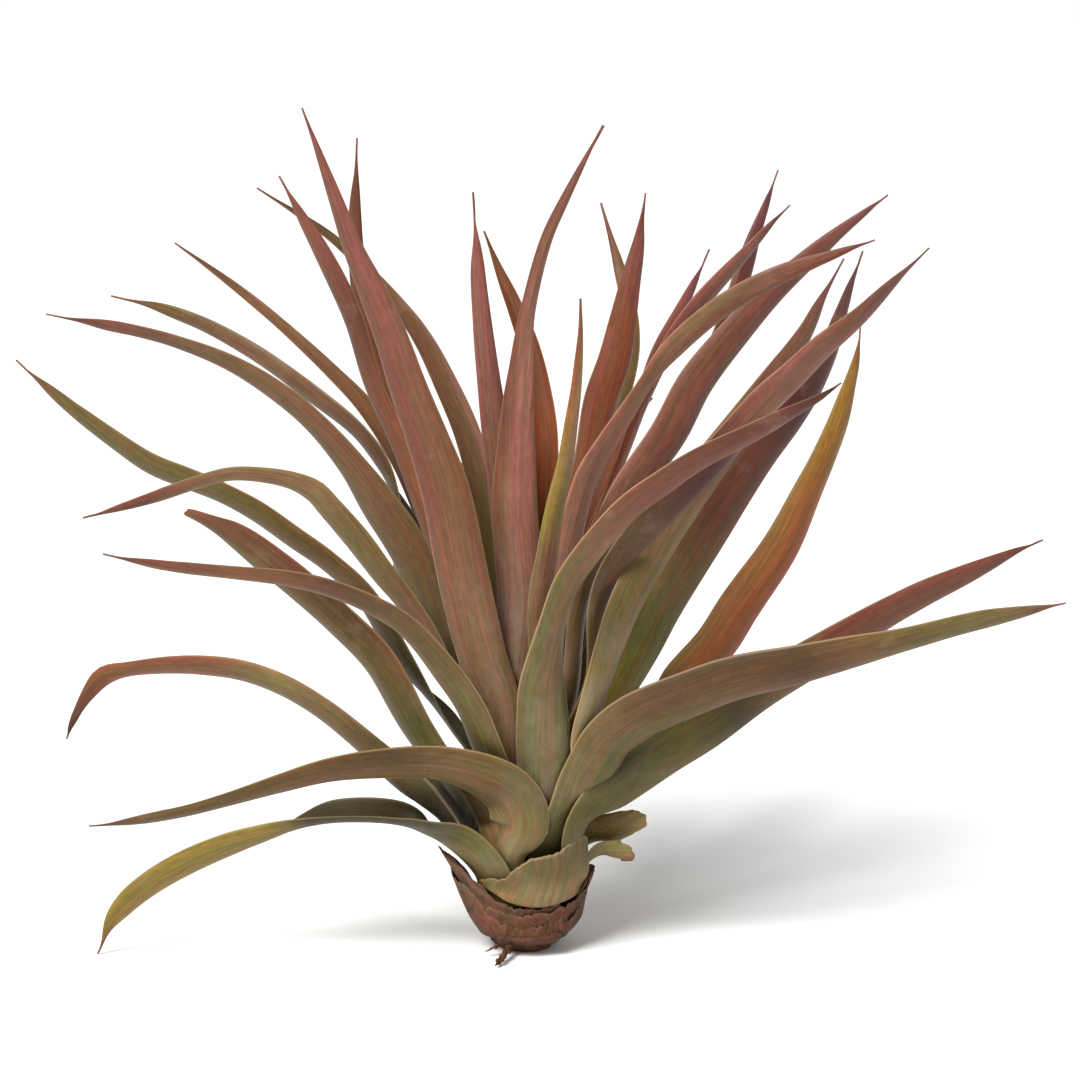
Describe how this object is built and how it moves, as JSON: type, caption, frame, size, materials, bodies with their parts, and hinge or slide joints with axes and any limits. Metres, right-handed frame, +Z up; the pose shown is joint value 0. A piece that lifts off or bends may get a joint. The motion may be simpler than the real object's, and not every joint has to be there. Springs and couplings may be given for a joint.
{
  "type": "air plant",
  "caption": "Bare-root air plant: a rosette of long, narrow, channelled leaves that arch out from a short woody stem wrapped in dry sheaths.",
  "frame": {"origin": "middle of the flat spot under the stem, which the plant stands on", "axes": "+Z up along the stem; +X to the plant's right as it is looked at, the way it spreads widest; +Y away from that viewer"},
  "size_m": [0.2062, 0.1666, 0.174],
  "materials": {
    "stem": "rough dead bark, dark brown",
    "dry_sheath": "papery dead leaf, matt red-brown with paler rims",
    "red_leaf": "leathery leaf, satin, red-brown with a grey bloom of fine scales",
    "green_leaf": "leathery leaf, satin, olive-brown with a grey bloom of fine scales"
  },
  "bodies": {
    "root": {"rootstock": "stem", "dry_sheath_left": "dry_sheath", "dry_sheath_front": "dry_sheath", "dry_sheath_right": "dry_sheath", "dry_sheath_back": "dry_sheath", "cup_sheath": "green_leaf", "leaf_left_10": "green_leaf", "cut_stub_02": "green_leaf", "cut_stub_01": "green_leaf", "leaf_right_01": "green_leaf", "leaf_left_08": "green_leaf", "leaf_left_09": "green_leaf", "cut_stub_04": "green_leaf", "leaf_back_11": "red_leaf", "leaf_right_02": "green_leaf", "leaf_back_10": "red_leaf", "cut_stub_03": "green_leaf", "leaf_left_07": "green_leaf", "leaf_upper_20": "red_leaf", "leaf_back_09": "red_leaf", "leaf_upper_19": "red_leaf", "leaf_left_06": "green_leaf", "leaf_back_06": "red_leaf", "leaf_back_08": "red_leaf", "leaf_upper_16": "red_leaf", "leaf_back_04": "red_leaf", "leaf_upper_08": "red_leaf", "leaf_upper_17": "red_leaf", "leaf_back_05": "red_leaf", "leaf_left_01": "green_leaf", "leaf_upper_01": "red_leaf", "leaf_back_03": "red_leaf", "leaf_back_07": "red_leaf", "leaf_upper_18": "red_leaf", "leaf_left_04": "green_leaf", "leaf_left_03": "green_leaf", "leaf_back_02": "red_leaf", "leaf_upper_07": "red_leaf", "leaf_upper_14": "red_leaf", "leaf_left_02": "green_leaf", "leaf_back_01": "red_leaf", "leaf_left_05": "green_leaf", "leaf_upper_13": "red_leaf", "leaf_upper_15": "red_leaf", "leaf_upper_11": "red_leaf", "leaf_upper_03": "red_leaf", "leaf_upper_10": "red_leaf", "leaf_upper_12": "red_leaf", "leaf_upper_02": "red_leaf", "leaf_upper_05": "red_leaf", "leaf_upper_04": "red_leaf", "leaf_upper_09": "red_leaf", "leaf_upper_06": "red_leaf"}
  },
  "joints": []
}
